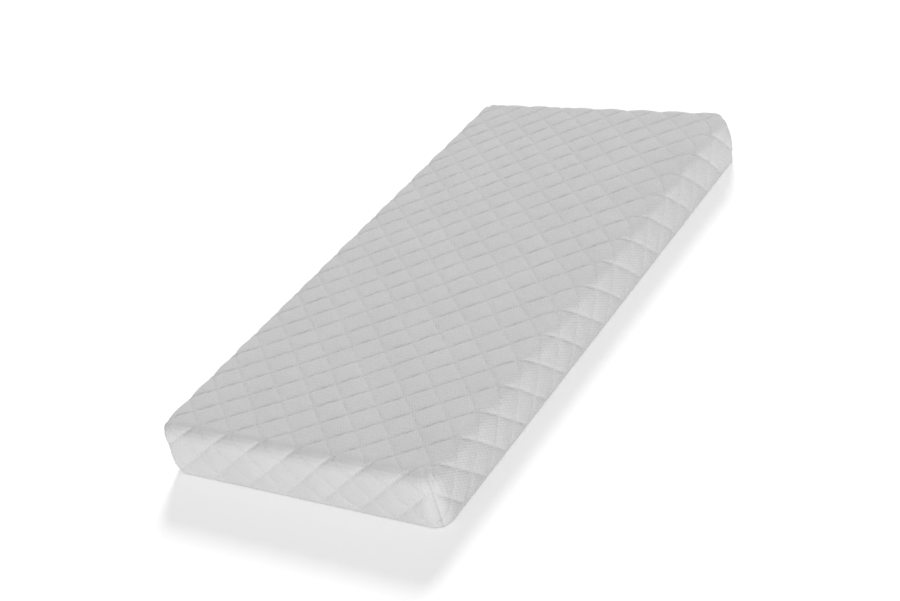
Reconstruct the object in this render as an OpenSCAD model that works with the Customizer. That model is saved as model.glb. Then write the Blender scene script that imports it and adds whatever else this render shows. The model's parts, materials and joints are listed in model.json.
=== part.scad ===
// Memory foam cot mattress in a quilted, zip-off cover.
// Millimetres. +Z is up and the origin is the middle of the underside.
// X runs across the width and Y along the length. The zip is reached from the +Y end.
// Depths are measured inwards from the outer face of the side walls.

/* [Mattress] */
// Width of the finished mattress
mattress_w = 600; // [500:10:700]
// Length of the finished mattress
mattress_l = 1200; // [1000:10:1400]
// Height of the finished mattress
mattress_h = 110; // [95:1:150]
// Radius of the upper edges and of the four corners
edge_r = 30; // [26:1:36]

/* [Quilted cover] */
// Thickness of the knitted face fabric
face_t = 1.5; // [1.5:0.1:2]
// Thickness of the quilting wadding
wadding_t = 4.5; // [4.5:0.1:6]
// Thickness of the backing fabric behind the wadding
backing_t = 0.8; // [0.5:0.1:1]
// Height of the lower hem above the ground
hem_z = 1.5; // [1:0.1:2]
// Depth of the folded hem
hem_h = 7; // [5:0.5:8]

/* [Base panel] */
// Thickness of the base fabric
base_face_t = 1.2; // [1:0.1:1.4]
// Thickness of the base wadding
base_wadding_t = 2; // [1.5:0.1:2.2]
// Thickness of the base backing fabric
base_backing_t = 0.5; // [0.3:0.1:0.6]
// Height that the base fabric turns up around the core
base_lip_h = 9; // [7:0.5:9]

/* [Foam core] */
// Thickness of the memory foam layer
memory_foam_t = 30; // [30:1:45]
// Thickness of the tricot sleeve around the foam
sleeve_t = 0.7; // [0.5:0.1:0.8]

/* [Zip] */
// Length of the opening in the hem that the zip is reached through
zip_window_l = 480; // [300:10:480]
// Height of that opening
zip_window_h = 24; // [22:1:25]
// Straight travel of the slider across the end
slider_travel = 400; // [100:10:400]
// Length of the slider's pull
pull_l = 26; // [16:1:30]

/* [Care label] */
// Width of the blank care label
label_w = 60; // [40:1:80]
// Length of the blank care label
label_l = 45; // [30:1:60]

/* [Hidden] */
$fn = 32;

half_w = mattress_w / 2;
half_l = mattress_l / 2;
ply_gap = 0.1;          // between fabric plies of one body
band_gap = 0.3;         // between a ply's round corner and a band that follows it
core_clearance = 1.5;   // between the cover's backing and the core
lift_clearance = 0.8;   // between the base lip or slider and the core
rest_clearance = 0.5;   // between the core and what it lies on or what lies on it

// Depths and heights of the quilted layers
wadding_depth = face_t + ply_gap;
backing_depth = wadding_depth + wadding_t + ply_gap;
core_depth = backing_depth + backing_t + core_clearance;

// Depths and heights of the base layers
lip_inner_depth = core_depth - lift_clearance;
lip_depth = lip_inner_depth - base_face_t;
base_wadding_z = base_face_t + ply_gap;
base_backing_z = base_wadding_z + base_wadding_t + ply_gap;
base_top_z = base_backing_z + base_backing_t;

// Care label, lying on the inside of the base
label_t = 0.4;
label_z = base_top_z + ply_gap / 2;
label_edge_gap = 30;    // from the walls of the mattress

// Foam heights
sleeve_z = label_z + label_t + rest_clearance / 2;
sleeve_top_z = mattress_h - backing_depth - backing_t - rest_clearance;
foam_depth = core_depth + sleeve_t + band_gap;
foam_z = sleeve_z + sleeve_t + ply_gap;
foam_top_z = sleeve_top_z - sleeve_t - ply_gap;
memory_foam_z = foam_top_z - memory_foam_t;
core_corner_r = edge_r - 2;

// Zip, worked out from the middle line between its two rows of teeth
zip_z = 16;
row_gap = 1.4;
teeth_h = 2.4;
teeth_t = 2;
tape_t = 0.8;
back_plate_t = 0.9;
front_plate_t = 0.8;
plate_gap = 0.2;
teeth_inner_depth = lip_inner_depth - back_plate_t - plate_gap;
teeth_depth = teeth_inner_depth - teeth_t;
tape_inner_depth = teeth_inner_depth - plate_gap;
tape_depth = tape_inner_depth - tape_t;
upper_teeth_z = zip_z + row_gap / 2;
lower_teeth_z = zip_z - row_gap / 2 - teeth_h;
lower_tape_z = 3;
quilt_foot_z = 26;      // lower edge of the wadding, where the upper tape is sewn on

// Slider and pull
slider_x = slider_travel / 2;
slider_l = 14;
slider_h = 11;
slider_corner_r = 3;
bridge_l = 4;
bridge_h = 1;
front_plate_inner_depth = teeth_depth - plate_gap;
front_plate_depth = front_plate_inner_depth - front_plate_t;
pull_t = 1.2;
pull_clearance = 0.3;
pull_axis_depth = front_plate_depth - pull_clearance - pull_t / 2;
crown_h = 3;
crown_wall = 0.7;
bar_clearance = 0.08;   // around the pull's bar in the crown
crown_bore_r = pull_t / 2 + bar_clearance;
pull_w = 9;
pull_arm_w = 1.7;
pull_eye_l = 4;

// End stops clamped on the two tapes behind the parked slider
stop_l = 4;
stop_x = slider_x + slider_l / 2 + stop_l;
stop_slack = 0.2;

// Rectangle with round corners, smaller than the mattress by depth on every side
module plan_outline(depth, corner_r) {
    w = half_w - depth;
    l = half_l - depth;
    square([2 * (w - corner_r), 2 * l], center = true);
    square([2 * w, 2 * (l - corner_r)], center = true);
    for (sx = [-1, 1], sy = [-1, 1])
        translate([sx * (w - corner_r), sy * (l - corner_r)])
            circle(r = corner_r);
}

// Flat plate of that outline
module plate(depth, corner_r, z, h) {
    translate([0, 0, z])
        linear_extrude(h)
            plan_outline(depth, corner_r);
}

// Upright band that follows the outline, from depth inwards by t
module band(depth, t, z, h) {
    translate([0, 0, z])
        linear_extrude(h)
            difference() {
                plan_outline(depth, edge_r - depth);
                plan_outline(depth + t, edge_r - depth - t);
            }
}

// Block with round corners and round upper edges
module soft_block(depth, corner_r, z, top_z) {
    w = half_w - depth - corner_r;
    l = half_l - depth - corner_r;
    hull() {
        translate([-w, -l, z])
            cube([2 * w, 2 * l, top_z - z]);
        for (sx = [-1, 1], sy = [-1, 1])
            translate([sx * w, sy * l, z]) {
                cylinder(r = corner_r, h = top_z - z - corner_r);
                translate([0, 0, top_z - z - corner_r])
                    sphere(r = corner_r);
            }
    }
}

// One ply of the quilted cover: a lid with walls t thick that is open below
module cover_ply(depth, t, foot_z) {
    difference() {
        soft_block(depth, edge_r - depth, foot_z, mattress_h - depth);
        soft_block(depth + t, edge_r - depth - t, foot_z - 1, mattress_h - depth - t);
    }
}

// Opening in the hem at the +Y end, where the zip is reached
module zip_window() {
    translate([-zip_window_l / 2, half_l - edge_r / 2, -1])
        cube([zip_window_l, edge_r, zip_window_h + 1]);
}

module quilted_knit_face() {
    color("whitesmoke")
        difference() {
            cover_ply(0, face_t, hem_z);
            zip_window();
        }
}

module quilt_wadding() {
    color("white")
        cover_ply(wadding_depth, wadding_t, quilt_foot_z);
}

module quilt_backing() {
    color("gainsboro")
        cover_ply(backing_depth, backing_t, quilt_foot_z);
}

// Tapes that cover the mitred seams inside the four corners
module corner_seam_tapes() {
    tape_depth_in = backing_depth + backing_t + band_gap;
    seam_tape_t = 0.6;
    seam_tape_z = quilt_foot_z + 1;
    seam_tape_h = mattress_h - edge_r - quilt_foot_z - 5;
    reach = 14;         // from the mattress's corner, along both walls
    color("white")
        intersection() {
            band(tape_depth_in, seam_tape_t, seam_tape_z, seam_tape_h);
            for (sx = [-1, 1], sy = [-1, 1])
                translate([sx * (half_w - reach), sy * (half_l - reach), mattress_h / 2])
                    cube([reach, reach, mattress_h], center = true);
        }
}

// Folded strip inside the lower hem, left out at the zip opening
module hem_binding() {
    color("white")
        difference() {
            band(face_t + band_gap, face_t / 2, hem_z, hem_h);
            zip_window();
        }
}

// Gap in a row of teeth that an end stop fills
module stop_gap(slack) {
    translate([stop_x - slack, half_l - lip_inner_depth, lower_teeth_z - teeth_h])
        cube([stop_l + 2 * slack, lip_inner_depth, 4 * teeth_h]);
}

module teeth_row(z) {
    difference() {
        band(teeth_depth, teeth_t, z, teeth_h);
        stop_gap(stop_slack);
    }
}

module end_stop(z) {
    translate([stop_x, half_l - teeth_inner_depth, z])
        cube([stop_l, teeth_t, teeth_h]);
}

module upper_zip_tape() {
    tape_z = upper_teeth_z + teeth_h;
    color("white")
        band(tape_depth, tape_t, tape_z, quilt_foot_z - tape_z);
}

module upper_zip_teeth() {
    color("white")
        teeth_row(upper_teeth_z);
}

module upper_zip_stop() {
    color("silver")
        end_stop(upper_teeth_z);
}

module lower_zip_tape() {
    color("white")
        band(tape_depth, tape_t, lower_tape_z, lower_teeth_z - lower_tape_z);
}

module lower_zip_teeth() {
    color("white")
        teeth_row(lower_teeth_z);
}

module lower_zip_stop() {
    color("silver")
        end_stop(lower_teeth_z);
}

module memory_foam_layer() {
    color("lightyellow")
        intersection() {
            soft_block(foam_depth, core_corner_r, foam_z, foam_top_z);
            translate([-half_w, -half_l, memory_foam_z])
                cube([mattress_w, mattress_l, mattress_h]);
        }
}

module support_foam_core() {
    color("white")
        plate(foam_depth, core_corner_r, foam_z, memory_foam_z - ply_gap - foam_z);
}

// Closed bag of thin tricot around both foam layers
module tricot_sleeve() {
    color("whitesmoke")
        difference() {
            soft_block(core_depth, core_corner_r + sleeve_t, sleeve_z, sleeve_top_z);
            soft_block(
                core_depth + sleeve_t, core_corner_r,
                sleeve_z + sleeve_t, sleeve_top_z - sleeve_t
            );
        }
}

// Shallow tray: the underside and the lip that turns up around the core
module base_knit_panel() {
    corner_r = edge_r - lip_depth;
    color("lightgrey")
        union() {
            plate(lip_depth, corner_r, 0, base_face_t);
            band(lip_depth, base_face_t, 0, base_lip_h);
        }
}

module base_wadding() {
    depth = lip_inner_depth + ply_gap;
    color("white")
        plate(depth, edge_r - depth, base_wadding_z, base_wadding_t);
}

module base_backing() {
    depth = lip_inner_depth + ply_gap;
    color("gainsboro")
        plate(depth, edge_r - depth, base_backing_z, base_backing_t);
}

// Binding over the seam between the base lip and the lower zip tape
module base_seam_binding() {
    binding_t = 0.8;
    color("white")
        band(tape_depth - ply_gap - binding_t, binding_t, lower_tape_z, base_lip_h - lower_tape_z);
}

module care_label() {
    color("white")
        translate([-half_w + label_edge_gap, half_l - label_edge_gap - label_l, label_z])
            cube([label_w, label_l, label_t]);
}

// Outline of a slider plate, seen from outside
module slider_outline() {
    l = slider_l - 2 * slider_corner_r;
    h = slider_h - 2 * slider_corner_r;
    square([slider_l, h], center = true);
    square([l, slider_h], center = true);
    for (sx = [-1, 1], sy = [-1, 1])
        translate([sx * l / 2, sy * h / 2])
            circle(r = slider_corner_r);
}

// Stands a flat outline upright at the +Y end, from depth inwards by t
module upright(depth, t) {
    translate([0, half_l - depth, 0])
        rotate([90, 0, 0])
            linear_extrude(t)
                children();
}

module zip_slider() {
    bridge_x = slider_x + slider_l / 2 - slider_corner_r - bridge_l;
    color("silver")
        union() {
            translate([slider_x, 0, zip_z]) {
                upright(front_plate_depth, front_plate_t)
                    slider_outline();
                upright(teeth_inner_depth + plate_gap, back_plate_t)
                    slider_outline();
            }
            // The bridge between the plates, which runs between the rows
            translate([bridge_x, half_l - teeth_inner_depth - plate_gap, zip_z - bridge_h / 2])
                cube([bridge_l, teeth_t + 2 * plate_gap, bridge_h]);
            crown();
        }
}

// Arch on the front plate that the pull's bar turns in
module crown() {
    outer_r = crown_bore_r + crown_wall;
    translate([slider_x, half_l - pull_axis_depth, zip_z - crown_h / 2])
        linear_extrude(crown_h)
            difference() {
                union() {
                    circle(r = outer_r);
                    translate([-outer_r, pull_axis_depth - front_plate_depth - front_plate_t / 2])
                        square([2 * outer_r, front_plate_depth + front_plate_t / 2 - pull_axis_depth]);
                }
                circle(r = crown_bore_r);
            }
}

// The pull, lying flat along the zip towards -X
module zip_pull() {
    tab_l = pull_l - pull_eye_l - pull_w / 2;
    color("silver")
        union() {
            translate([slider_x, half_l - pull_axis_depth, zip_z - pull_w / 2])
                cylinder(r = pull_t / 2, h = pull_w);
            translate([slider_x, 0, zip_z])
                upright(pull_axis_depth - pull_t / 2, pull_t) {
                    for (side = [-1, 1])
                        translate([-pull_eye_l, side * (pull_w - pull_arm_w) / 2 - pull_arm_w / 2])
                            square([pull_eye_l, pull_arm_w]);
                    translate([-pull_eye_l - tab_l, -pull_w / 2])
                        square([tab_l, pull_w]);
                    translate([-pull_eye_l - tab_l, 0])
                        circle(r = pull_w / 2);
                }
        }
}

quilted_knit_face();
quilt_wadding();
quilt_backing();
corner_seam_tapes();
hem_binding();
upper_zip_tape();
upper_zip_teeth();
upper_zip_stop();
memory_foam_layer();
support_foam_core();
tricot_sleeve();
base_knit_panel();
base_wadding();
base_backing();
base_seam_binding();
care_label();
lower_zip_tape();
lower_zip_teeth();
lower_zip_stop();
zip_slider();
zip_pull();
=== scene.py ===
"""Looks of the memory foam cot mattress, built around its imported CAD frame. Metres, row frame."""

import json
import math

import bpy
import numpy as np
from mathutils import Matrix, Vector

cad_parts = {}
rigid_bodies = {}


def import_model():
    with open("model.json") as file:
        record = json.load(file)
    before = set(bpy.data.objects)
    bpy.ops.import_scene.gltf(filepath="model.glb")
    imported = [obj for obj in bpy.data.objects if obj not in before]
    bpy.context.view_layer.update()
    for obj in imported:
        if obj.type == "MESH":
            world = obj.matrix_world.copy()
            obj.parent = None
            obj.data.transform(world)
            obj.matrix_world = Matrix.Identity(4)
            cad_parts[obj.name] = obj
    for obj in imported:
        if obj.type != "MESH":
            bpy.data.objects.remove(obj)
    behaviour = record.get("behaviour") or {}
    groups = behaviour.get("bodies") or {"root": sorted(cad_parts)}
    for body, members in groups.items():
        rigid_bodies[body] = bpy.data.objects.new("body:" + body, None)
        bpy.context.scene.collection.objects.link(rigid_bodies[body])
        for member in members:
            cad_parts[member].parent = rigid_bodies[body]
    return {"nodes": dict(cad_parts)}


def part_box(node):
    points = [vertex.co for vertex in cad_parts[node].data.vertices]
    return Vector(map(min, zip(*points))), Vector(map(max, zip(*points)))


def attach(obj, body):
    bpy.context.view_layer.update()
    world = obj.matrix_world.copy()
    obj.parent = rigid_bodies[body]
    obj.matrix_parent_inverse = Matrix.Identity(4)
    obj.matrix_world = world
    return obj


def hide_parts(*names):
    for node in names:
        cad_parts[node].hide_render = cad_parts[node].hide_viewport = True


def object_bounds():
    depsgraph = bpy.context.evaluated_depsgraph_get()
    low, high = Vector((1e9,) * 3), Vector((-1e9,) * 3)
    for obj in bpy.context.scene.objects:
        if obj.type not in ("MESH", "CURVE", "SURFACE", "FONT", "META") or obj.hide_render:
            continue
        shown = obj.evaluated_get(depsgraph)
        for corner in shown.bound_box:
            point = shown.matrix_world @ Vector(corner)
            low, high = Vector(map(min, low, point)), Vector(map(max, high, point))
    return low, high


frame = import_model()
cad_low, cad_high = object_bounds()

MM = 0.001
RIGHT_ANGLE = math.pi / 2

# ---------------------------------------------------------------- sizes, from the frame
HALF_W = cad_high.x
HALF_L = cad_high.y
TOP_Z = cad_high.z
EDGE_R = 30 * MM                      # of the upper edges and of the corners in plan
FLAT_W = HALF_W - EDGE_R              # half width of the flat top, where the rounding starts
FLAT_L = HALF_L - EDGE_R
HEM_Z = 0.3 * MM                      # the hem just clears the floor
WALL_H = TOP_Z - EDGE_R - HEM_Z
ROUND_S = EDGE_R * RIGHT_ANGLE        # cloth over the rounded edge
FULL_S = ROUND_S + WALL_H             # cloth from the flat top down to the hem

WINDOW_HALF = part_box("lower_zip_tape")[1].x + 10 * MM   # half length of the zip opening
WINDOW_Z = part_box("upper_zip_tape")[1].z - 2 * MM
WADDING_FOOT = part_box("quilt_wadding")[0].z + 1 * MM
CORE_CORNER_R = 28 * MM               # of the foams and their sleeve, in plan

# ---------------------------------------------------------------- quilting
DIAMOND = 75 * MM                     # across one diamond, both ways
PUFF = 4.6 * MM                       # height of a diamond above its stitch lines
STITCH_DEPTH = 3.2 * MM               # of the stitch lines below the CAD surface
WEAK_LINES = 0.82                     # depth of the falling stitch lines, against the rising ones
HEM_DEPTH = 1.6 * MM                  # of the flattened hem below the CAD surface
WALL_CROWN = 3.0 * MM                 # how far the side walls bulge
HEM_TUCK = 1.2 * MM                   # how far the hem turns in
WINDOW_TUCK = 4.7 * MM                # and above the zip, where it meets the tape
QUILT_T = 6.2 * MM                    # of face and wadding together
FOLD_H = 0.34 * MM                    # height of the small folds that the thread gathers
CREASE_H = 0.30 * MM                  # height of the soft creases between the stitch lines
GATHER_H = 1.5 * MM                   # height of the folds below each upper corner
HEM_BAND = 13 * MM                    # height of the cloth that flattens towards the hem
SEAM_HALF_ANGLE = math.radians(1.2)   # of the strip that closes the mitred corner seam
SEAM_GROOVE = 6 * MM                  # half width of the groove along a corner seam
STITCH = 4.2 * MM                     # from one stitch to the next
THREAD_R = 0.30 * MM
HEM_CLEARANCE = 9 * MM                # no stitch lies nearer to the hem
SEAM_CLEARANCE = math.radians(11)     # nor nearer to a corner seam, round the corner


# ---------------------------------------------------------------- smooth noise
def waves(coordinates, wavelength, seed, count=7):
    """Smooth noise, mostly from -1 to 1: a sum of a few waves in random directions."""
    random = np.random.default_rng(seed)
    total = 0
    for _ in range(count):
        direction = random.normal(size=len(coordinates))
        direction *= 2 * math.pi / (np.linalg.norm(direction) * wavelength * random.uniform(0.7, 1.5))
        phase = random.uniform(0, 2 * math.pi)
        total = total + np.sin(sum(k * c for k, c in zip(direction, coordinates)) + phase)
    return total / math.sqrt(2 * count)


def smoothstep(t):
    t = np.clip(t, 0, 1)
    return t * t * (3 - 2 * t)


# ---------------------------------------------------------------- the lattice of stitch lines
def lattice(x, y):
    """How many diamonds a point of the flat cloth is along each family of stitch lines.
    A line runs where a value is a whole number and a half. The lines drift, as on real quilting."""
    across, along = x / HALF_W, y / HALF_L
    drift_a = 0.08 + (0.21 - 0.24 * across) * across + (0.23 + 0.29 * along - 0.34 * along**2) * along
    drift_a += (0.41 - 0.29 * across) * across * along
    drift_b = -0.42 - (0.10 - 0.09 * across) * across + (0.41 - 0.16 * along) * along
    drift_b -= 0.20 * across * along
    wobble_a = 0.018 * waves((x, y), 160 * MM, seed=3)
    wobble_b = 0.018 * waves((x, y), 160 * MM, seed=4)
    return (x - y) / DIAMOND + drift_a + wobble_a, (x + y) / DIAMOND + drift_b + wobble_b


def line_distance(value):
    """Distance from the nearest stitch line, from 0 on it to 0.5 halfway to the next."""
    return np.abs(value - np.floor(value) - 0.5)


def pillow(distance):
    """Rise of the cloth with distance from a stitch line: steep at the stitches, then gently round."""
    steep = 1 - np.exp(-((distance / 0.045) ** 1.2))
    crown = np.sin(math.pi * np.clip(distance, 0, 0.5))
    return 0.5 * (steep + crown)


def relief(x, y, slack=0.0, share=1.0):
    """Height of the quilted cloth over its flat point (x, y), from the CAD surface. Slack widens the
    stitch lines, for a ply under the face. Share is the part of the puff that isn't left to a swell."""
    a, b = lattice(x, y)
    distance_a = np.maximum(line_distance(a) - slack, 0)
    distance_b = np.maximum(line_distance(b) - slack, 0)
    fill = 1 + 0.13 * waves((np.round(a), np.round(b)), 2.3, seed=5)
    pillow_b = 1 - WEAK_LINES + WEAK_LINES * pillow(distance_b)
    height = share * PUFF * fill * pillow(distance_a) * pillow_b
    if slack == 0:
        free = np.clip(3 * pillow(distance_a) * pillow_b, 0, 1)
        height += wrinkles(x, y, a, b, distance_a, distance_b) * free
    return height - STITCH_DEPTH


def wrinkles(x, y, a, b, distance_a, distance_b):
    """Small folds that the thread gathers across each line, and soft creases in the cloth."""
    folds_a = waves((b * DIAMOND, a * 20 * MM), 11 * MM, seed=6) * np.exp(-distance_a / 0.10)
    folds_b = waves((a * DIAMOND, b * 20 * MM), 11 * MM, seed=7) * np.exp(-distance_b / 0.10)
    creases = waves((x, y), 28 * MM, seed=8)
    return FOLD_H * (folds_a + folds_b) + CREASE_H * creases + fold_puckers(x, y, a, b)


def fold_puckers(x, y, a, b):
    """Pits with a fan of creases, where stitch lines cross on the rounded upper edge."""
    past = np.maximum(np.abs(x) - FLAT_W, np.abs(y) - FLAT_L)
    on_edge = np.exp(-(((past - 0.35 * ROUND_S) / (0.45 * ROUND_S)) ** 2))
    from_a, from_b = a - np.floor(a) - 0.5, b - np.floor(b) - 0.5
    reach = np.hypot(from_a, from_b)
    fan = np.sin(9 * np.arctan2(from_b, from_a)) * np.exp(-(((reach - 0.13) / 0.09) ** 2))
    pit = np.exp(-((reach / 0.09) ** 2))
    return on_edge * MM * (0.8 * fan - 1.2 * pit)


# ---------------------------------------------------------------- places round the outline
class Places:
    """Places on vertical lines round a rectangle with round corners. Each has its base, a point of
    the inner rectangle, the side of the mattress (0 front, 1 right, 2 back, 3 left), and how far it
    has turned round the corner after that side, from 0 to a right angle."""

    once_round = 8.0                      # of way_round

    def __init__(self, base, side, turned):
        self.base = np.asarray(base, float)
        self.side = np.asarray(side)
        self.turned = np.asarray(turned, float)
        self.out = self.heading(self.side, self.turned)

    @staticmethod
    def heading(side, turned):
        angle = (side - 1) * RIGHT_ANGLE + turned
        return np.stack([np.cos(angle), np.sin(angle)], axis=-1)

    def at(self, offset, z):
        """Points at an offset outward from the bases, at height z."""
        flat = self.base + self.out * np.reshape(offset, (-1, 1))
        return np.column_stack([flat, np.broadcast_to(z, len(flat))])

    def on_cloth(self, s, offset):
        """Where each place lies on the flat cloth. The mitred corner seam parts two sides."""
        late = self.turned > RIGHT_ANGLE / 2
        turned = np.where(late, self.turned - RIGHT_ANGLE, self.turned)
        out = self.heading(np.where(late, self.side + 1, self.side), 0 * turned)
        along = np.stack([-out[:, 1], out[:, 0]], axis=1)
        return self.base + out * s[:, None] + along * (offset * turned)[:, None]

    def seam_gap(self, offset):
        """Distance from the nearest mitred corner seam."""
        away = np.abs(self.turned - RIGHT_ANGLE / 2) * np.maximum(offset, 0.1 * MM)
        corner = np.array([FLAT_W, FLAT_L])
        return away + np.where(self.turned == 0, np.abs(corner - np.abs(self.base)).sum(axis=1), 0)

    def way_round(self):
        """How far round the outline each place is: two units for each side and the corner after it."""
        half = np.array([FLAT_W, FLAT_L])
        share = (self.base / half + 1) / 2
        along = np.choose(self.side, [share[:, 0], share[:, 1], 1 - share[:, 0], 1 - share[:, 1]])
        return 2 * self.side + np.where(self.turned > 0, 1 + self.turned / RIGHT_ANGLE, along)

    def foot(self, foot_z):
        """The way from the flat top down to a ply's foot, which is higher at the zip."""
        window = np.where(self.in_window(), max(WINDOW_Z, foot_z), foot_z)
        return ROUND_S + TOP_Z - EDGE_R - window

    def in_window(self):
        return (self.side == 2) & (self.turned == 0) & (np.abs(self.base[:, 0]) < WINDOW_HALF)


class Outline(Places):
    """Columns of vertices all round an inner rectangle, counted anticlockwise from above."""

    def __init__(self, half_w, half_l, cell, corner_steps, seam=False):
        self.xs = np.linspace(-half_w, half_w, max(2, round(2 * half_w / cell)) + 1)
        self.ys = np.linspace(-half_l, half_l, max(2, round(2 * half_l / cell)) + 1)
        last_x, last_y = len(self.xs) - 1, len(self.ys) - 1
        if seam:
            half = np.linspace(0, RIGHT_ANGLE / 2 - SEAM_HALF_ANGLE, corner_steps + 1)[1:]
            turns = [*half, *(RIGHT_ANGLE - half[::-1])]
        else:
            turns = np.linspace(0, RIGHT_ANGLE, 2 * corner_steps + 1)[1:-1]
        runs = (
            [(i, 0) for i in range(last_x + 1)],
            [(last_x, j) for j in range(last_y + 1)],
            [(i, last_y) for i in range(last_x, -1, -1)],
            [(0, j) for j in range(last_y, -1, -1)],
        )
        cells = [(i, j, side, 0.0) for side, run in enumerate(runs) for i, j in run]
        cells += [(*run[-1], side, turn) for side, run in enumerate(runs) for turn in turns]
        cells.sort(key=lambda cell: (cell[2], cell[3]))
        i, j, side, turned = (np.array(column) for column in zip(*cells))
        super().__init__(np.column_stack([self.xs[i], self.ys[j]]), side, turned)
        self.patch = j * len(self.xs) + i

    def grid(self):
        x, y = np.meshgrid(self.xs, self.ys)
        return x.ravel(), y.ravel()


# ---------------------------------------------------------------- meshes
def mesh_object(name, points, faces, uv_layers=None, smooth=True):
    mesh = bpy.data.meshes.new(name)
    mesh.from_pydata(np.asarray(points).tolist(), [], faces)
    corner = np.zeros(len(mesh.loops), np.int32)
    mesh.loops.foreach_get("vertex_index", corner)
    for uv_name, values in (uv_layers or {}).items():
        layer = mesh.uv_layers.new(name=uv_name)
        layer.data.foreach_set("uv", np.asarray(values, np.float32)[corner].ravel())
    mesh.polygons.foreach_set("use_smooth", np.full(len(mesh.polygons), smooth))
    mesh.update()
    piece = bpy.data.objects.new(name, mesh)
    bpy.context.scene.collection.objects.link(piece)
    return piece


def patch_faces(outline):
    """Faces of the flat patch inside the outline."""
    nx, ny = len(outline.xs), len(outline.ys)
    corners = (j * nx + i for j in range(ny - 1) for i in range(nx - 1))
    return [(corner, corner + 1, corner + nx + 1, corner + nx) for corner in corners]


def skirt_faces(outline, rows, last=None):
    """Faces of rows of columns that hang from the patch, down to a last level if there is one."""
    count, first = len(outline.base), len(outline.xs) * len(outline.ys)
    levels = [outline.patch]
    levels += [first + row * count + np.arange(count) for row in range(rows)]
    levels += [] if last is None else [last]
    faces = []
    for upper, lower in zip(levels, levels[1:]):
        for quad in zip(upper, lower, np.roll(lower, -1), np.roll(upper, -1)):
            ring = tuple(dict.fromkeys(int(v) for v in quad))
            if len(ring) > 2:
                faces.append(ring)
    return faces


def wrap_faces(outline, rows):
    """Faces of a top patch, rows of columns round its sides, and a bottom patch."""
    bottom = len(outline.xs) * len(outline.ys) + rows * len(outline.base)
    top = patch_faces(outline)
    under = [tuple(bottom + v for v in reversed(quad)) for quad in top]
    return top + under + skirt_faces(outline, rows, bottom + outline.patch)


def turned_solid(name, half_w, half_l, corner_r, cell, profile):
    """A solid swept round the outline: its profile runs from the first flat patch, outward and back
    to the last. Profile points are (outward offset, z)."""
    outline = Outline(half_w - corner_r, half_l - corner_r, cell, corner_steps=6)
    x, y = outline.grid()
    rings = [np.column_stack([x, y, np.full(len(x), profile[0][1])])]
    rings += [outline.at(offset, z) for offset, z in profile]
    rings.append(np.column_stack([x, y, np.full(len(x), profile[-1][1])]))
    faces = wrap_faces(outline, len(profile))
    if profile[0][1] < profile[-1][1]:
        faces = [face[::-1] for face in faces]
    return mesh_object(name, np.concatenate(rings), faces)


def arc(offset, z, radius, start, stop, steps=5):
    """Points of an arc, from start to stop degrees from the horizontal outward direction."""
    angles = np.radians(np.linspace(start, stop, steps))
    return [(offset + radius * math.cos(t), z + radius * math.sin(t)) for t in angles]


def block_profile(corner_r, low, high, upper_r, lower_r, wall_steps):
    """Profile of a block with rounded edges, from its top patch down to its bottom patch."""
    upper = arc(corner_r - upper_r, high - upper_r, upper_r, 90, 0, steps=9)
    lower = arc(corner_r - lower_r, low + lower_r, lower_r, 0, -90)
    wall = np.linspace(high - upper_r, low + lower_r, wall_steps + 2)[1:-1]
    return [*upper, *((corner_r, z) for z in wall), *lower]


def band(name, outline, loops, gap=None):
    """A closed strip round the outline: loops are its lines of points. A gap leaves columns out."""
    points = np.concatenate(loops)
    count, around = len(outline.base), len(loops)
    kept = np.ones(count, bool) if gap is None else ~gap
    faces = []
    for column in range(count):
        after = (column + 1) % count
        if kept[column] and kept[after]:
            for k in range(around):
                upper, lower = k * count, (k + 1) % around * count
                faces.append((upper + column, lower + column, lower + after, upper + after))
        elif kept[column]:
            faces.append(tuple(k * count + column for k in range(around))[::-1])
        elif kept[after]:
            faces.append(tuple(k * count + after for k in range(around)))
    used = np.unique(np.concatenate(faces))
    number = np.full(len(points), -1)
    number[used] = np.arange(len(used))
    return mesh_object(name, points[used], [tuple(int(number[v]) for v in face) for face in faces])


def tubes(name, paths, radii, up, sides=6):
    """Round tubes along paths, an array of (tube, point, xyz). Up is a direction across each path."""
    paths = np.asarray(paths, float)
    count, length = paths.shape[:2]
    tangent = np.gradient(paths, axis=1)
    tangent /= np.linalg.norm(tangent, axis=2, keepdims=True)
    across = np.cross(tangent, np.broadcast_to(up, paths.shape))
    across /= np.linalg.norm(across, axis=2, keepdims=True)
    upward = np.cross(across, tangent)
    turn = np.arange(sides) * 2 * math.pi / sides
    spokes = across[:, :, None] * np.cos(turn)[:, None] + upward[:, :, None] * np.sin(turn)[:, None]
    points = paths[:, :, None] + spokes * np.reshape(radii, (-1, 1, 1))
    start = np.arange(count)[:, None, None] * length * sides
    ring = np.arange(length - 1)[:, None] * sides
    side, after = np.arange(sides), (np.arange(sides) + 1) % sides
    quads = np.stack([ring + side, ring + after, ring + sides + after, ring + sides + side], axis=-1)
    quads = (quads[None] + start[..., None]).reshape(-1, 4)
    caps = [start[:, 0] + side[::-1], start[:, 0] + (length - 1) * sides + side]
    faces = [tuple(face) for face in quads.tolist()]
    faces += [tuple(face) for cap in caps for face in cap.tolist()]
    return mesh_object(name, points.reshape(-1, 3), faces)


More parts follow.
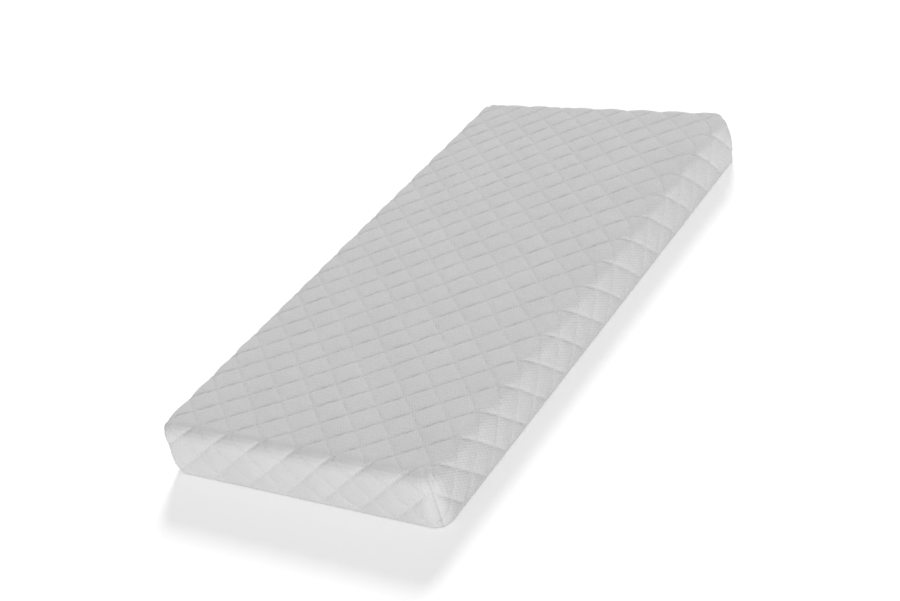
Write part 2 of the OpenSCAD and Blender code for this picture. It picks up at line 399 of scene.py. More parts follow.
# ---------------------------------------------------------------- the quilted cover
def cover_points(places, s, depth, follow, slack=0.0, lift=0.0, share=1.0):
    """Points of the cover where the cloth goes a way s past the flat top, at a depth under the CAD
    surface. Follow is how much they keep to the quilting: 1 for the face and 0 for a flat lining."""
    foot_s = places.foot(HEM_Z)
    theta = np.clip(s / EDGE_R, 0, RIGHT_ANGLE)
    drop = np.maximum(s - ROUND_S, 0)
    to_foot = 1 - smoothstep((foot_s - s) / HEM_BAND)
    tuck = np.where(places.in_window(), WINDOW_TUCK, HEM_TUCK) * max(0, 1 - depth / QUILT_T)
    bulge = WALL_CROWN * np.sin(math.pi * np.clip(drop / WALL_H, 0, 1)) - tuck * to_foot**2
    offset = EDGE_R * np.sin(theta)
    cloth = places.on_cloth(s, offset)
    height = relief(cloth[:, 0], cloth[:, 1], slack, share) + corner_gathers(places, s)
    seam = 1 - np.exp(-((places.seam_gap(offset) / SEAM_GROOVE) ** 2))
    height = (height + STITCH_DEPTH) * seam - STITCH_DEPTH
    height = follow * (height * (1 - to_foot) - HEM_DEPTH * to_foot) - depth + lift
    points = places.at(offset + bulge + np.sin(theta) * height, 0)
    points[:, 2] = TOP_Z - EDGE_R + EDGE_R * np.cos(theta) - drop + np.cos(theta) * height
    return points, cloth


def corner_gathers(places, s):
    """Folds that run down from each upper corner, where the mitred cloth is gathered."""
    folds = np.sin(places.turned * 22 + places.side * 1.7) * np.sin(2 * places.turned)
    return GATHER_H * folds * np.exp(-(((s / ROUND_S - 0.8) / 0.6) ** 2))


def cover_ply(name, cell, rows, foot_z, outer, inner, swell=None):
    """A closed ply of the cover: two skins joined at the foot. Outer and inner are each a skin's
    depth, follow and slack. A swell adds what a cloth simulation found."""
    outline = Outline(FLAT_W, FLAT_L, cell, corner_steps=9, seam=True)
    x, y = outline.grid()
    cloth = [np.column_stack([x, y])]
    foot_s = outline.foot(foot_z)
    share = swell.share if swell else 1.0
    skins = [(outer, np.arange(1, rows + 1)), (inner, np.arange(rows, 0, -1))]
    patches, rings = [], []
    for (depth, follow, slack), steps in skins:
        height = follow * relief(x, y, slack, share) - depth
        if swell:
            height += swell.on_top(x, y)
        patches.append(np.column_stack([x, y, TOP_Z + height]))
        for step in steps:
            lift = swell.on_wall(outline, step / rows) if swell else 0.0
            s = foot_s * step / rows
            ring, on_cloth = cover_points(outline, s, depth, follow, slack, lift, share)
            rings.append(ring)
            cloth.append(on_cloth)
    cloth.append(cloth[0])
    cloth = np.concatenate(cloth)
    layers = {"cloth": cloth, "quilt": np.column_stack(lattice(cloth[:, 0], cloth[:, 1]))}
    points = np.concatenate([patches[0], *rings, patches[1]])
    return mesh_object(name, points, wrap_faces(outline, 2 * rows), layers)


class Swell:
    """The quilted face as a cloth simulation shapes it: pressure lifts it between its stitches. It
    starts from a share of the quilting's height, and keeps how far each point then rises."""

    share = 0.8
    slack = 0.02
    cell = 6 * MM
    rows = 21
    most = 1.8 * MM
    least = -0.15 * most
    stitch_hold = 0.55 * math.sqrt(2)     # cells beside a stitch line that it holds down
    hem_hold = 2.2                        # cells above the hem that it holds

    def __init__(self):
        self.outline = Outline(FLAT_W, FLAT_L, self.cell, corner_steps=5, seam=True)
        x, y = self.outline.grid()
        foot_s = self.outline.foot(HEM_Z)
        points = [np.column_stack([x, y, TOP_Z + relief(x, y, self.slack, self.share)])]
        cloth = [np.column_stack([x, y])]
        held = [np.zeros(len(x), bool)]
        up = [np.tile((0.0, 0.0, 1.0), (len(x), 1))]
        for step in range(1, self.rows + 1):
            s = foot_s * step / self.rows
            ring, on_cloth = cover_points(self.outline, s, 0.0, 1.0, self.slack, share=self.share)
            theta = np.clip(s / EDGE_R, 0, RIGHT_ANGLE)
            seam = self.outline.seam_gap(EDGE_R * np.sin(theta)) < self.cell
            points.append(ring)
            cloth.append(on_cloth)
            held.append(seam | (foot_s - s < self.hem_hold * self.cell))
            up.append(np.column_stack([self.outline.out * np.sin(theta)[:, None], np.cos(theta)]))
        points, cloth, up = (np.concatenate(part) for part in (points, cloth, up))
        lines = [line_distance(value) for value in lattice(cloth[:, 0], cloth[:, 1])]
        held = np.concatenate(held) | (np.minimum(*lines) < self.stitch_hold * self.cell / DIAMOND)
        faces = patch_faces(self.outline) + skirt_faces(self.outline, self.rows)
        risen = simulate_cloth(points, faces, held)
        rise = self.most * np.tanh(((risen - points) * up).sum(axis=1) / self.most)
        rise = np.maximum(rise, self.least)
        top = len(x)
        self.top = rise[:top].reshape(len(self.outline.ys), len(self.outline.xs))
        wall = np.vstack([rise[:top][self.outline.patch], rise[top:].reshape(self.rows, -1)])
        self.wall = np.column_stack([wall, wall[:, 0]])

    def on_top(self, x, y):
        column = (x + FLAT_W) / (2 * FLAT_W) * (len(self.outline.xs) - 1)
        row = (y + FLAT_L) / (2 * FLAT_L) * (len(self.outline.ys) - 1)
        return between(self.top, row, column)

    def on_wall(self, places, share_down):
        way = np.append(self.outline.way_round(), places.once_round)
        column = np.interp(places.way_round(), way, np.arange(len(way)))
        return between(self.wall, np.full(len(column), share_down * self.rows), column)


def between(grid, row, column):
    """Values between the points of a grid, at fractional rows and columns."""
    i = np.clip(np.floor(row).astype(int), 0, grid.shape[0] - 2)
    j = np.clip(np.floor(column).astype(int), 0, grid.shape[1] - 2)
    u, v = row - i, column - j
    upper = grid[i, j] * (1 - v) + grid[i, j + 1] * v
    lower = grid[i + 1, j] * (1 - v) + grid[i + 1, j + 1] * v
    return upper * (1 - u) + lower * u


def simulate_cloth(points, faces, held, frames=20, pressure=1.0):
    """Where the points of a sheet end after pressure has swollen it, held at some points."""
    sheet = mesh_object("sheet_in_simulation", points, faces)
    pins = sheet.vertex_groups.new(name="stitches")
    pins.add([int(v) for v in np.flatnonzero(held)], 1.0, "REPLACE")
    cloth = sheet.modifiers.new("cloth", "CLOTH")
    cloth.settings.quality = 4
    cloth.settings.vertex_group_mass = pins.name
    cloth.settings.use_pressure = True
    cloth.settings.uniform_pressure_force = pressure
    cloth.settings.bending_stiffness = 0.2
    cloth.settings.effector_weights.gravity = 0
    cloth.collision_settings.use_collision = False
    cloth.point_cache.frame_start = 1
    cloth.point_cache.frame_end = frames
    scene = bpy.context.scene
    for number in range(1, frames + 1):
        scene.frame_set(number)
    result = sheet.evaluated_get(bpy.context.evaluated_depsgraph_get()).data
    ended = np.zeros(3 * len(result.vertices))
    result.vertices.foreach_get("co", ended)
    scene.frame_set(1)
    bpy.data.objects.remove(sheet)
    return ended.reshape(-1, 3)


def places_of_cloth(x, y):
    """The places of points of the flat cloth, the way s past the flat top, and whether they are
    on the cover: outside the mitred corners there is no cloth."""
    past_x, past_y = np.abs(x) - FLAT_W, np.abs(y) - FLAT_L
    over_x, over_y = past_x > 0, past_y > 0
    by_x = over_x & (~over_y | (past_x > past_y))
    s = np.maximum(np.where(by_x, past_x, past_y), 0)
    short = np.where(by_x, past_y, past_x)
    offset = EDGE_R * np.sin(np.clip(s / EDGE_R, 0.01, RIGHT_ANGLE))
    corner = over_x & over_y
    angle = np.where(corner, short / offset, 0)
    side = np.where(by_x, np.where(x > 0, 1, 3), np.where(y > 0, 2, 0))
    right, back = x > 0, y > 0
    # A place before its corner, anticlockwise, keeps its side; one after it belongs to the side before
    before = np.select([side == 0, side == 1, side == 2], [right, back, ~right], ~back)
    turned = np.where(corner, np.where(before, angle, RIGHT_ANGLE - angle), 0)
    side = np.where(corner & ~before, (side + 3) % 4, side)
    base = np.column_stack([np.clip(x, -FLAT_W, FLAT_W), np.clip(y, -FLAT_L, FLAT_L)])
    on_cover = angle < RIGHT_ANGLE / 2 - 2 * SEAM_HALF_ANGLE
    return Places(base, side, turned), s, on_cover


def stitch_line(family, number, across):
    """Points of the flat cloth along one stitch line, where the other family's value is across."""
    wanted = number + 0.5
    x, y = np.zeros_like(across), np.zeros_like(across)
    for _ in range(8):
        a, b = lattice(x, y)
        step_a, step_b = (wanted - a, across - b) if family == 0 else (across - a, wanted - b)
        x = x + DIAMOND * (step_a + step_b) / 2
        y = y + DIAMOND * (step_b - step_a) / 2
    return x, y


def quilting_thread():
    """Every stitch of the quilting, as a short piece of thread that dives into the cloth."""
    pitch = STITCH * math.sqrt(2) / DIAMOND
    dive = np.array([0.10, 0.25, 0.60, 0.75]) * pitch
    lifts = np.array([-0.45, 0.28, 0.28, -0.45]) * MM
    reach = int((HALF_W + HALF_L + 2 * FULL_S) / DIAMOND) + 2
    starts = np.arange(-reach, reach, pitch)
    paths, ups = [], []
    for family in (0, 1):
        for number in range(-reach, reach):
            x, y = stitch_line(family, number, starts)
            near = (np.abs(x) < FLAT_W + FULL_S) & (np.abs(y) < FLAT_L + FULL_S)
            if not near.any():
                continue
            stitch = starts[near][:, None] + dive
            x, y = stitch_line(family, number, stitch.ravel())
            places, s, on_cover = places_of_cloth(x, y)
            on_cover &= s < places.foot(HEM_Z) - HEM_CLEARANCE
            on_cover &= np.abs(places.turned - RIGHT_ANGLE / 2) > SEAM_CLEARANCE
            on_cover = on_cover.reshape(-1, len(dive)).all(axis=1)
            lift = np.tile(lifts, len(stitch))
            points, _ = cover_points(places, s, 0.0, 1.0, lift=lift)
            points = points.reshape(-1, len(dive), 3)
            on_cover &= np.linalg.norm(points[:, -1] - points[:, 0], axis=1) < STITCH
            theta = np.clip(s / EDGE_R, 0, RIGHT_ANGLE)
            up = np.column_stack([places.out * np.sin(theta)[:, None], np.cos(theta)])
            paths.append(points[on_cover])
            ups.append(up.reshape(-1, len(dive), 3)[on_cover])
    return tubes("quilting_thread", np.concatenate(paths), THREAD_R, np.concatenate(ups), sides=5)


# ---------------------------------------------------------------- materials
class Shader:
    """A node material under construction, with short calls for the nodes that materials share."""

    def __init__(self, name, roughness, **constants):
        self.material = bpy.data.materials.new(name)
        self.material.use_nodes = True
        self.tree = self.material.node_tree
        self.bsdf = self.tree.nodes["Principled BSDF"]
        self.bsdf.inputs["Roughness"].default_value = roughness
        for socket, value in constants.items():
            self.bsdf.inputs[socket.replace("_", " ")].default_value = value
        self.normal = None

    def node(self, kind, **settings):
        made = self.tree.nodes.new(kind)
        for key, value in settings.items():
            setattr(made, key, value)
        return made

    def link(self, source, target):
        if isinstance(source, (int, float, tuple)):
            target.default_value = source
        else:
            self.tree.links.new(source, target)

    def math(self, operation, *values):
        made = self.node("ShaderNodeMath", operation=operation)
        for value, socket in zip(values, made.inputs):
            self.link(value, socket)
        return made.outputs[0]

    def mix(self, *weighted):
        """Sum of values times their weights, given as (value, weight) pairs."""
        total = 0.0
        for value, weight in weighted:
            total = self.math("MULTIPLY_ADD", value, weight, total)
        return total

    def split(self, vector):
        parts = self.node("ShaderNodeSeparateXYZ")
        self.link(vector, parts.inputs[0])
        return parts.outputs[0], parts.outputs[1], parts.outputs[2]

    def uv(self, layer):
        return self.node("ShaderNodeUVMap", uv_map=layer).outputs[0]

    def place(self):
        """The point in the piece's own frame, which is the row frame."""
        return self.node("ShaderNodeTexCoord").outputs["Object"]

    def scaled(self, vector, factors):
        made = self.node("ShaderNodeMapping")
        self.link(vector, made.inputs["Vector"])
        made.inputs["Scale"].default_value = factors
        return made.outputs[0]

    def noise(self, vector, size, detail=2.0, roughness=0.5):
        """Cloudy noise from 0 to 1 with patches of about that size."""
        made = self.node("ShaderNodeTexNoise")
        self.link(vector, made.inputs["Vector"])
        made.inputs["Scale"].default_value = 1 / size
        made.inputs["Detail"].default_value = detail
        made.inputs["Roughness"].default_value = roughness
        return made.outputs[0]

    def cells(self, vector, size):
        """Distance from the middle of the nearest random cell, from 0 to about 1."""
        made = self.node("ShaderNodeTexVoronoi")
        self.link(vector, made.inputs["Vector"])
        made.inputs["Scale"].default_value = 1 / size
        return made.outputs["Distance"]

    def sine(self, coordinate, pitch):
        """A sine from -1 to 1 that repeats every pitch metres."""
        return self.math("SINE", self.math("MULTIPLY", coordinate, 2 * math.pi / pitch))

    def wave(self, coordinate, pitch):
        """A sine from 0 to 1 that repeats every pitch metres."""
        return self.math("MULTIPLY_ADD", self.sine(coordinate, pitch), 0.5, 0.5)

    def ramp(self, value, low, high, to_low=0.0, to_high=1.0):
        made = self.node("ShaderNodeMapRange")
        for number, socket in zip((value, low, high, to_low, to_high), made.inputs):
            self.link(number, socket)
        return made.outputs[0]

    def tones(self, factor, dark, light):
        """Base colour from dark to light greys, or colours, as the factor goes from 0 to 1."""
        made = self.node("ShaderNodeMix", data_type="RGBA")
        self.link(factor, made.inputs[0])
        self.link(colour(dark), made.inputs[6])
        self.link(colour(light), made.inputs[7])
        self.link(made.outputs[2], self.bsdf.inputs["Base Color"])

    def bump(self, height, distance, strength=1.0):
        made = self.node("ShaderNodeBump")
        made.inputs["Strength"].default_value = strength
        made.inputs["Distance"].default_value = distance
        self.link(height, made.inputs["Height"])
        if self.normal is not None:
            self.link(self.normal, made.inputs["Normal"])
        self.normal = made.outputs[0]
        self.link(self.normal, self.bsdf.inputs["Normal"])


def colour(tone):
    """A grey, or a colour given as a tuple, with alpha."""
    return (*tone, 1.0) if isinstance(tone, tuple) else (tone, tone, tone, 1.0)


def quilted_knit():
    """Fine ribbed knit with a dotted stitch, pulled in along the stitch lines, with painted shade
    in the grooves of the falling ones, which the light runs along."""
    s = Shader("quilted_knit", 0.92, Sheen_Weight=0.15, Sheen_Roughness=0.5, Specular_IOR_Level=0.25)
    cloth = s.uv("cloth")
    x, y, _ = s.split(cloth)
    a, b, _ = s.split(s.uv("quilt"))
    ribs = s.wave(y, 8.4 * MM)
    dots = s.math("MULTIPLY", s.sine(x, 5.8 * MM), s.sine(y, 8.4 * MM))
    loops = s.math("MULTIPLY", s.wave(x, 1.45 * MM), s.wave(y, 2.1 * MM))
    fuzz = s.noise(cloth, 1.1 * MM, 3)
    broad = s.noise(cloth, 110 * MM)
    line_a, line_b = (
        s.math("ABSOLUTE", s.math("SUBTRACT", s.math("FRACT", value), 0.5)) for value in (a, b)
    )
    groove_a = s.ramp(line_a, 0.004, 0.022)
    groove_b = s.ramp(line_b, 0.002, 0.014)
    # groove_b darkens the knit's colour along the falling stitch lines: painted shade in their grooves,
    # which the light barely shades
    tone = s.mix((dots, 0.10), (loops, 0.15), (fuzz, 0.22), (broad, 0.35), (groove_b, 0.14))
    s.tones(s.math("SUBTRACT", tone, 0.18), 0.47, 0.63)
    s.bump(s.mix((groove_a, 1.0), (groove_b, 0.9)), 0.14 * MM, 0.8)
    s.bump(s.mix((ribs, 0.5), (dots, 0.7), (loops, 0.35), (fuzz, 0.3)), 0.45 * MM, 0.7)
    return s.material


def backing_fleece():
    """Thin non-woven of random fibres."""
    s = Shader("backing_fleece", 0.95, Sheen_Weight=0.1, Specular_IOR_Level=0.2)
    fibres = s.noise(s.place(), 2.4 * MM, 6, 0.7)
    s.tones(s.mix((fibres, 0.6), (s.noise(s.place(), 70 * MM, 3), 0.4)), 0.62, 0.80)
    s.bump(fibres, 0.4 * MM, 0.7)
    return s.material


def wadding():
    """Loose polyester fibres in tufts."""
    s = Shader("wadding", 1.0, Sheen_Weight=0.3, Specular_IOR_Level=0.1)
    tufts = s.noise(s.place(), 8 * MM, 8, 0.75)
    s.tones(tufts, 0.72, 0.92)
    s.bump(tufts, 1.5 * MM)
    return s.material


def woven_tape(name, tone, pitch):
    """Narrow woven tape with fine ribs across it."""
    s = Shader(name, 0.85, Sheen_Weight=0.1, Specular_IOR_Level=0.3)
    x, y, z = s.split(s.place())
    rib = s.wave(s.math("ADD", x, y), pitch)
    weave = s.math("MULTIPLY", rib, s.wave(z, pitch * 0.8))
    s.tones(s.mix((weave, 0.6), (s.noise(s.place(), 16 * MM), 0.5)), 0.80 * tone, 1.05 * tone)
    s.bump(weave, 0.2 * MM, 0.8)
    return s.material


def foam(name, dark, light, cell):
    """Open foam: small pores, and broader patches where the saw has rubbed it."""
    s = Shader(name, 0.95, Specular_IOR_Level=0.2)
    pores = s.cells(s.place(), cell)
    fine = s.noise(s.place(), 0.4 * cell, 4)
    patches = s.noise(s.place(), 80 * MM, 3)
    s.tones(s.mix((pores, 0.4), (fine, 0.35), (patches, 0.4)), dark, light)
    s.bump(s.mix((pores, 1.0), (fine, 0.4)), 0.6 * MM, 0.8)
    return s.material


def tricot():
    """Thin stretch tricot with fine wales along the mattress."""
    s = Shader("tricot", 0.8, Sheen_Weight=0.2, Specular_IOR_Level=0.35)
    x, y, _ = s.split(s.place())
    loops = s.mix((s.wave(x, 1.6 * MM), 0.7), (s.wave(y, 1.1 * MM), 0.3))
    s.tones(s.mix((loops, 0.35), (s.noise(s.place(), 50 * MM, 3), 0.6)), 0.66, 0.84)
    s.bump(s.mix((loops, 1.0), (s.noise(s.place(), 3 * MM), 0.8)), 0.2 * MM, 0.7)
    return s.material


def base_knit():
    """Plain dense knit of the underside."""
    s = Shader("base_knit", 0.9, Sheen_Weight=0.15, Specular_IOR_Level=0.25)
    x, y, z = s.split(s.place())
    knit = s.math("MULTIPLY", s.wave(y, 2.2 * MM), s.wave(s.math("ADD", x, z), 1.8 * MM))
    s.tones(s.mix((knit, 0.5), (s.noise(s.place(), 60 * MM, 3), 0.5)), 0.54, 0.70)
    s.bump(knit, 0.3 * MM, 0.8)
    return s.material


def zip_metal():
    """Satin nickel with fine drawn scratches and dulled patches."""
    s = Shader("zip_metal", 0.34, Metallic=1.0)
    dull = s.noise(s.place(), 3 * MM, 3)
    s.tones(dull, (0.50, 0.50, 0.49), (0.72, 0.71, 0.69))
    s.link(s.ramp(dull, 0.3, 0.7, 0.26, 0.46), s.bsdf.inputs["Roughness"])
    s.bump(s.noise(s.scaled(s.place(), (40, 900, 900)), 1.0, 3), 0.03 * MM, 0.5)
    return s.material


def zip_teeth():
    """Coil of nylon with a soft gloss."""
    s = Shader("zip_teeth", 0.35, Specular_IOR_Level=0.5)
    s.tones(s.noise(s.place(), 2 * MM), 0.66, 0.80)
    s.bump(s.noise(s.place(), 0.8 * MM), 0.05 * MM, 0.5)
    return s.material


def thread():
    """Twisted polyester sewing thread."""
    s = Shader("thread", 0.6, Sheen_Weight=0.1)
    x, y, z = s.split(s.place())
    twist = s.wave(s.mix((x, 1.0), (y, 1.0), (z, 1.0)), 0.5 * MM)
    s.tones(twist, 0.52, 0.68)
    s.bump(twist, 0.05 * MM)
    return s.material


def satin_label():
    """Blank woven satin."""
    s = Shader("label_satin", 0.4, Sheen_Weight=0.1, Specular_IOR_Level=0.5)
    x, _, _ = s.split(s.place())
    weave = s.wave(x, 0.6 * MM)
    s.tones(s.mix((weave, 0.4), (s.noise(s.place(), 12 * MM), 0.6)), 0.78, 0.92)
    s.bump(weave, 0.05 * MM, 0.6)
    return s.material


# ---------------------------------------------------------------- the pieces
def finish_piece(piece, material, body, slot, *nodes):
    """Paints a piece, makes it ride on its body and lets it stand for its CAD nodes."""
    piece.data.materials.clear()
    piece.data.materials.append(material)
    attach(piece, body)
    if nodes:
        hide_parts(*nodes)
    return piece


def paint_node(name, material, edge=0.0):
    """Finishes a CAD node that is shown as it is, with its edges softened."""
    node = frame["nodes"][name]
    node.data.materials.clear()
    node.data.materials.append(material)
    if edge:
        bevel = node.modifiers.new("soft_edges", "BEVEL")
        bevel.width = edge
        bevel.segments = 2
        bevel.angle_limit = math.radians(35)


def make_top_cover(binding):
    """Face, wadding and backing, quilted together, with the thread and the hem binding."""
    swell = Swell()
    face = cover_ply(
        "quilted_cover", 2.5 * MM, 50, HEM_Z, (0.0, 1.0, 0.0), (1.2 * MM, 1.0, 0.0), swell
    )
    finish_piece(face, quilted_knit(), "top_cover", "quilted_knit", "quilted_knit_face")
    filling = cover_ply(
        "cover_wadding", 4 * MM, 24, WADDING_FOOT, (2.2 * MM, 1.0, 0.06), (6.1 * MM, 0.0, 0.0)
    )
    finish_piece(filling, wadding(), "top_cover", "wadding", "quilt_wadding")
    lining = cover_ply(
        "cover_backing", 5 * MM, 20, WADDING_FOOT, (6.3 * MM, 0.08, 0.0), (6.9 * MM, 0.08, 0.0)
    )
    finish_piece(lining, backing_fleece(), "top_cover", "backing_fleece", "quilt_backing")
    finish_piece(quilting_thread(), thread(), "top_cover", "binding")
    finish_piece(hem_binding(), binding, "top_cover", "binding", "hem_binding")


def hem_binding():
    """The tape inside the hem, which leaves out the zip opening."""
    outline = Outline(FLAT_W, FLAT_L, 10 * MM, corner_steps=6)
    ways = np.linspace(FULL_S - 7 * MM, FULL_S - 0.2 * MM, 5)
    loops = []
    for depth, order in ((1.35 * MM, ways), (1.95 * MM, ways[::-1])):
        for s in order:
            way = np.full(len(outline.base), s)
            loops.append(cover_points(outline, way, depth, 0.0, lift=-HEM_DEPTH)[0])
    return band("hem_tape", outline, loops, gap=outline.in_window())


def make_core():
    """Two foams in a stretch sleeve."""
    low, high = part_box("support_foam_core")
    profile = block_profile(CORE_CORNER_R, low.z, high.z, 1.5 * MM, 5 * MM, wall_steps=8)
    support = turned_solid("support_foam", high.x, high.y, CORE_CORNER_R, 12 * MM, profile)
    rough = foam("support_foam", 0.60, 0.80, 2.2 * MM)
    finish_piece(support, rough, "foam_core", "support_foam", "support_foam_core")

    low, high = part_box("memory_foam_layer")
    profile = block_profile(CORE_CORNER_R, low.z, high.z, 20 * MM, 1.5 * MM, wall_steps=2)
    memory = turned_solid("memory_foam", high.x, high.y, CORE_CORNER_R, 12 * MM, profile)
    fine = foam("memory_foam", (0.66, 0.60, 0.42), (0.86, 0.80, 0.60), 1.1 * MM)
    finish_piece(memory, fine, "foam_core", "memory_foam", "memory_foam_layer")

    finish_piece(sleeve(), tricot(), "foam_core", "tricot", "tricot_sleeve")


def sleeve():
    """The stretch sleeve, closed all round: an outer skin and an inner one that faces the foam."""
    low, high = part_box("tricot_sleeve")
    thickness, upper_r, lower_r = 0.6 * MM, 21.5 * MM, 6 * MM
    skins = []
    for inset in (0.0, thickness):
        corner_r = CORE_CORNER_R - inset
        profile = block_profile(
            corner_r, low.z + inset, high.z - inset, upper_r - inset, lower_r - inset, wall_steps=8
        )
        skin = turned_solid("skin", high.x - inset, high.y - inset, corner_r, 8 * MM, profile)
        skins.append(skin.data)
    points, faces = [], []
    for number, skin in enumerate(skins):
        first = len(points)
        points += [vertex.co[:] for vertex in skin.vertices]
        order = 1 if number == 0 else -1
        faces += [tuple(first + v for v in face.vertices)[::order] for face in skin.polygons]
    for piece in [o for o in bpy.data.objects if o.name.startswith("skin")]:
        bpy.data.objects.remove(piece)
    made = mesh_object("core_sleeve", points, faces)
    return made


def make_base(binding):
    """The tray that the core lies in: knit panel, thin wadding, lining, binding and label."""
    low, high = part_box("base_knit_panel")
    lip, plate, corner_r, fold = 1.2 * MM, 1.2 * MM, EDGE_R - (HALF_W - high.x), 2.5 * MM
    profile = [
        *arc(corner_r - fold, low.z + fold, fold, -90, 0),
        (corner_r, high.z - 0.5 * MM),
        *arc(corner_r - lip / 2, high.z - lip / 2, lip / 2, 0, 180),
        *arc(corner_r - fold, low.z + fold, fold - plate, 0, -90),
    ]
    tray = turned_solid("base_tray", high.x, high.y, corner_r, 10 * MM, profile)
    finish_piece(tray, base_knit(), "base_cover", "base_knit", "base_knit_panel")

    low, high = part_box("base_wadding")
    corner_r = EDGE_R - (HALF_W - high.x)
    profile = block_profile(corner_r, low.z, high.z, 0.9 * MM, 0.9 * MM, wall_steps=0)
    filling = turned_solid("base_filling", high.x, high.y, corner_r, 10 * MM, profile)
    finish_piece(filling, wadding(), "base_cover", "wadding", "base_wadding")

    low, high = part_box("base_backing")
    profile = block_profile(corner_r, low.z, high.z, 0.2 * MM, 0.2 * MM, wall_steps=0)
    lining = turned_solid("base_lining", high.x, high.y, corner_r, 10 * MM, profile)
    finish_piece(lining, backing_fleece(), "base_cover", "backing_fleece", "base_backing")

    finish_piece(base_binding(), binding, "base_cover", "binding", "base_seam_binding")
    finish_piece(care_label(), satin_label(), "base_cover", "label_satin", "care_label")


def base_binding():
    """A folded tape round the base's lip, with softly rounded edges."""
    low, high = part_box("base_seam_binding")
    outline = Outline(FLAT_W, FLAT_L, 10 * MM, corner_steps=6)
    offset = EDGE_R - (HALF_W - high.x)
    half_t = 0.4 * MM
    middle = offset - half_t
    section = [
        *arc(middle, high.z - half_t, half_t, 180, 0),
        (offset + 0.15 * MM, (low.z + high.z) / 2),
        *arc(middle, low.z + half_t, half_t, 0, -180),
    ]
    return band("base_binding", outline, [outline.at(away, z) for away, z in section])


def care_label():
    """A blank satin label, sewn along one edge, whose free end curls up a little."""
    low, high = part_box("care_label")
    steps_x, steps_y = 24, 18
    x, y = np.meshgrid(np.linspace(low.x, high.x, steps_x), np.linspace(low.y, high.y, steps_y))
    free = smoothstep((high.y - y) / (high.y - low.y))
    curl = 0.5 * MM * free * (1 + 0.5 * waves((x, y), 40 * MM, seed=21))
    thickness = 0.2 * MM
    z = low.z + curl
    skins = [np.stack([x, y, level], axis=-1).reshape(-1, 3) for level in (z, z + thickness)]
    count = steps_x * steps_y
    faces = []
    for j in range(steps_y - 1):
        for i in range(steps_x - 1):
            v = j * steps_x + i
            quad = (v, v + 1, v + steps_x + 1, v + steps_x)
            faces.append(tuple(count + k for k in quad))
            faces.append(quad[::-1])
    rim = [*range(steps_x)]
    rim += [j * steps_x + steps_x - 1 for j in range(1, steps_y)]
    rim += [(steps_y - 1) * steps_x + i for i in range(steps_x - 2, -1, -1)]
    rim += [j * steps_x for j in range(steps_y - 2, 0, -1)]
    for v, w in zip(rim, rim[1:] + rim[:1]):
        faces.append((v, w, count + w, count + v))
    label = mesh_object("satin_label", np.concatenate(skins), faces)
    return label


def make_zip(tape):
    """Coils in place of the toothed rows; the tapes, stops, slider and pull are the CAD's own.

    Known fault: a toothed row is a ring round the mattress, and each coil fills that ring's whole
    box, so its wires cross the inside from end to end where they should follow the ring.
    """
    nylon, metal = zip_teeth(), zip_metal()
    centre = (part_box("lower_zip_teeth")[1].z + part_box("upper_zip_teeth")[0].z) / 2
    reach = 0.45 * MM
    halves = (("lower_zip_teeth", "base_cover", 0.0), ("upper_zip_teeth", "top_cover", 0.5))
    for name, body, shift in halves:
        low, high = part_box(name)
        if shift:
            low.z = centre - reach
        else:
            high.z = centre + reach
        coil = zip_coil(name.replace("teeth", "coil"), low, high, shift)
        finish_piece(coil, nylon, body, "zip_teeth", name)
    for name in ("lower_zip_tape", "upper_zip_tape"):
        paint_node(name, tape)
    for name in ("lower_zip_stop", "upper_zip_stop", "zip_slider", "zip_pull"):
        paint_node(name, metal, edge=0.25 * MM)


def zip_coil(name, low, high, shift):
    """One side of a zip: a coil along X that fills a box. It is right for a straight row only."""
    pitch, wire = 2.5 * MM, 0.42 * MM
    turns = int((high.x - low.x - 2 * wire) / pitch)
    angle = np.linspace(0, 2 * math.pi * turns, turns * 10 + 1)
    path = np.column_stack([
        low.x + wire + pitch * (angle / (2 * math.pi) + shift / 2),
        (low.y + high.y) / 2 + ((high.y - low.y) / 2 - wire) * np.cos(angle),
        (low.z + high.z) / 2 + ((high.z - low.z) / 2 - wire) * np.sin(angle + math.pi * 2 * shift),
    ])
    return tubes(name, path[None], wire, (1.0, 0.0, 0.0))


# ---------------------------------------------------------------- stage
AZIMUTH = math.radians(40.5)
ELEVATION = math.radians(31.1)
ROLL = math.radians(16.8)
DISTANCE = 3.118
AIM = Vector((-0.042, -0.024, 0.015))
LENS = 63.9


def link_object(name, data):
    made = bpy.data.objects.new(name, data)
    bpy.context.scene.collection.objects.link(made)
    return made


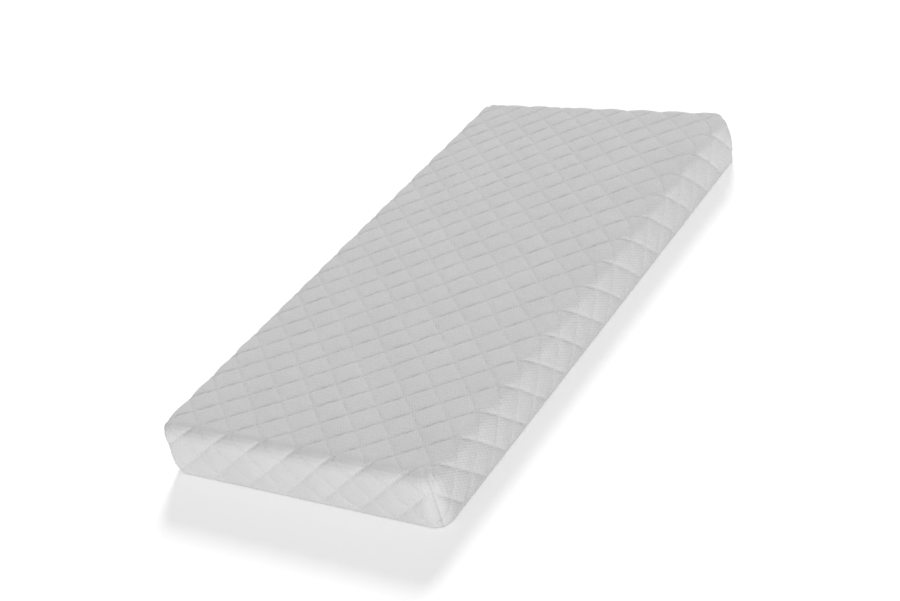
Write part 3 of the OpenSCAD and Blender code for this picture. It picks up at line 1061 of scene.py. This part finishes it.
def make_camera():
    """The camera looks down at the near right corner and is rolled, so the mattress seems tilted."""
    data = bpy.data.cameras.new("camera")
    data.sensor_width = 36
    data.lens = LENS
    camera = link_object("camera", data)
    back = Vector((
        math.sin(AZIMUTH) * math.cos(ELEVATION),
        -math.cos(AZIMUTH) * math.cos(ELEVATION),
        math.sin(ELEVATION),
    ))
    turn = (-back).to_track_quat("-Z", "Y").to_matrix() @ Matrix.Rotation(-ROLL, 3, "Z")
    camera.matrix_world = Matrix.Translation(AIM + back * DISTANCE) @ turn.to_4x4()
    bpy.context.scene.camera = camera


def make_floor():
    """A plain pale floor, just under the mattress, which glows a little, like a lit studio table."""
    reach, level = 30.0, -0.5 * MM
    ends = (-reach, reach)
    corners = [(x, y, level) for y in ends for x in ends]
    floor = mesh_object("floor", corners, [(0, 1, 3, 2)], smooth=False)
    s = Shader("floor", 0.9, Specular_IOR_Level=0.0, Emission_Strength=0.16)
    s.tones(s.noise(s.place(), 0.3), 0.93, 0.95)
    floor.data.materials.append(s.material)


def make_sun(name, energy, angle, direction):
    data = bpy.data.lights.new(name, "SUN")
    data.energy = energy
    data.angle = math.radians(angle)
    lamp = link_object(name, data)
    lamp.rotation_euler = Vector(direction).to_track_quat("-Z", "Y").to_euler()


def make_lights():
    """A white world all round, a low key on the near walls and a soft light from behind."""
    world = bpy.data.worlds.new("studio")
    world.use_nodes = True
    background = world.node_tree.nodes["Background"]
    background.inputs["Color"].default_value = (1, 1, 1, 1)
    background.inputs["Strength"].default_value = 0.52
    bpy.context.scene.world = world
    make_sun("key", 2.2, 25, (-0.55, 0.81, -0.20))
    make_sun("back_light", 2.5, 18, (0.34, -0.80, -0.50))


BINDING = woven_tape("binding", 0.70, 1.2 * MM)
TAPE = woven_tape("zip_tape", 0.66, 0.9 * MM)
make_top_cover(BINDING)
paint_node("corner_seam_tapes", BINDING, edge=0.15 * MM)
make_core()
make_base(BINDING)
make_zip(TAPE)
make_camera()
make_floor()
make_lights()
bpy.context.scene.view_settings.view_transform = "Standard"
